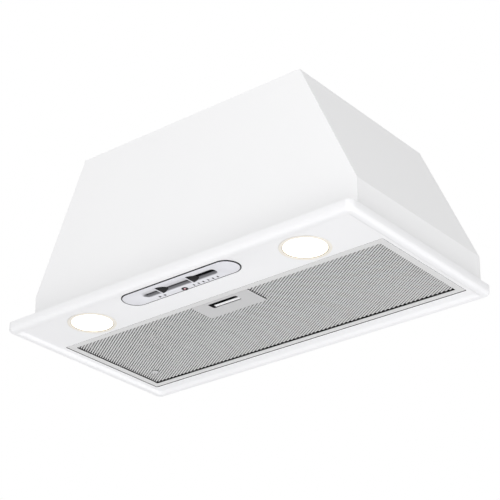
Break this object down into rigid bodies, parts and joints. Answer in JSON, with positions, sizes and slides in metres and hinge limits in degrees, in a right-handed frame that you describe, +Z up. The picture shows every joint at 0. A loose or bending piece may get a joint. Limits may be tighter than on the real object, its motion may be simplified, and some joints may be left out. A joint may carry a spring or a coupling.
{
  "type": "built-in canopy cooker hood",
  "caption": "White built-in cooker hood with a sloping sheet casing, lit lamps, slider controls, latched metal grease filter, blower and duct collar.",
  "frame": {"origin": "middle of the bottom frame's footprint, on the plane of its lowest rim", "axes": "+X to the cook's right along the long side, +Y to the wall, +Z up towards the duct"},
  "size_m": [0.52, 0.284, 0.2605],
  "materials": {
    "white_paint": "satin",
    "white_frame": "satin",
    "filter_metal": "satin",
    "satin_metal": "satin",
    "silver_plastic": "satin",
    "knob_plastic": "satin",
    "lamp_trim": "gloss",
    "lamp_glass": "frosted, lit",
    "red_lens": "gloss, lit",
    "dark_plastic": "matte",
    "board_green": "satin",
    "zinc_steel": "satin",
    "motor_grey": "satin"
  },
  "bodies": {
    "housing": {"bottom_frame": "white_frame", "casing_front": "white_paint", "casing_rear": "white_paint", "casing_left": "white_paint", "casing_right": "white_paint", "casing_top": "white_paint", "lamp_bezel_left": "lamp_trim", "lamp_bezel_right": "lamp_trim", "lamp_lens_left": "lamp_glass", "lamp_lens_right": "lamp_glass", "lamp_module_left": "dark_plastic", "lamp_module_right": "dark_plastic", "control_fascia": "silver_plastic", "pilot_lens": "red_lens", "switch_board": "board_green", "light_switch": "dark_plastic", "speed_switch": "dark_plastic", "scroll_left": "dark_plastic", "scroll_right": "dark_plastic", "motor_body": "motor_grey", "motor_bracket": "zinc_steel", "inlet_guard": "dark_plastic", "capacitor": "motor_grey", "capacitor_clip": "zinc_steel", "outlet_collar": "dark_plastic", "terminal_box": "dark_plastic", "terminal_lid": "dark_plastic", "terminal_block": "white_frame", "cable_gland": "dark_plastic", "frame_screw_front_left": "zinc_steel", "frame_screw_front_right": "zinc_steel", "frame_screw_rear_left": "zinc_steel", "frame_screw_rear_right": "zinc_steel", "panel_screw_left": "zinc_steel", "panel_screw_right": "zinc_steel", "collar_screw_front_left": "zinc_steel", "collar_screw_front_right": "zinc_steel", "collar_screw_rear_left": "zinc_steel", "collar_screw_rear_right": "zinc_steel", "motor_screw_1": "zinc_steel", "motor_screw_2": "zinc_steel", "motor_screw_3": "zinc_steel"},
    "filter": {"filter_frame": "filter_metal", "filter_mesh": "filter_metal", "filter_pack": "filter_metal", "filter_backing": "filter_metal", "filter_pin_left": "zinc_steel", "filter_pin_right": "zinc_steel", "filter_rivet": "satin_metal", "latch_plate": "satin_metal"},
    "latch": {"latch_handle": "satin_metal"},
    "light_knob": {"light_slider": "knob_plastic"},
    "speed_knob": {"speed_slider": "knob_plastic"},
    "fan": {"impeller": "dark_plastic", "motor_shaft": "zinc_steel"},
    "left_flap": {"flap_left": "dark_plastic"},
    "right_flap": {"flap_right": "dark_plastic"}
  },
  "joints": [
    {"name": "filter_hinge", "type": "hinge", "parent": "housing", "child": "filter", "pos_m": [0, 0.1112, 0.0066], "axis": [1, 0, 0], "range_deg": [0, 80]},
    {"name": "latch_slide", "type": "slide", "parent": "filter", "child": "latch", "axis": [0, 1, 0], "range_m": [0, 0.005], "stiffness_N_per_m": 200, "springref_m": -0.005},
    {"name": "light_slide", "type": "slide", "parent": "housing", "child": "light_knob", "axis": [1, 0, 0], "range_m": [-0.008, 0]},
    {"name": "speed_slide", "type": "slide", "parent": "housing", "child": "speed_knob", "axis": [1, 0, 0], "range_m": [0, 0.022]},
    {"name": "fan_spin", "type": "hinge", "parent": "housing", "child": "fan", "pos_m": [0, -0.0296, 0.118], "axis": [1, 0, 0], "continuous": true},
    {"name": "flap_left_hinge", "type": "hinge", "parent": "housing", "child": "left_flap", "pos_m": [-0.004, 0.0164, 0.236], "axis": [0, 1, 0], "range_deg": [0, 75]},
    {"name": "flap_right_hinge", "type": "hinge", "parent": "housing", "child": "right_flap", "pos_m": [0.004, 0.0164, 0.236], "axis": [0, -1, 0], "range_deg": [0, 75]}
  ]
}
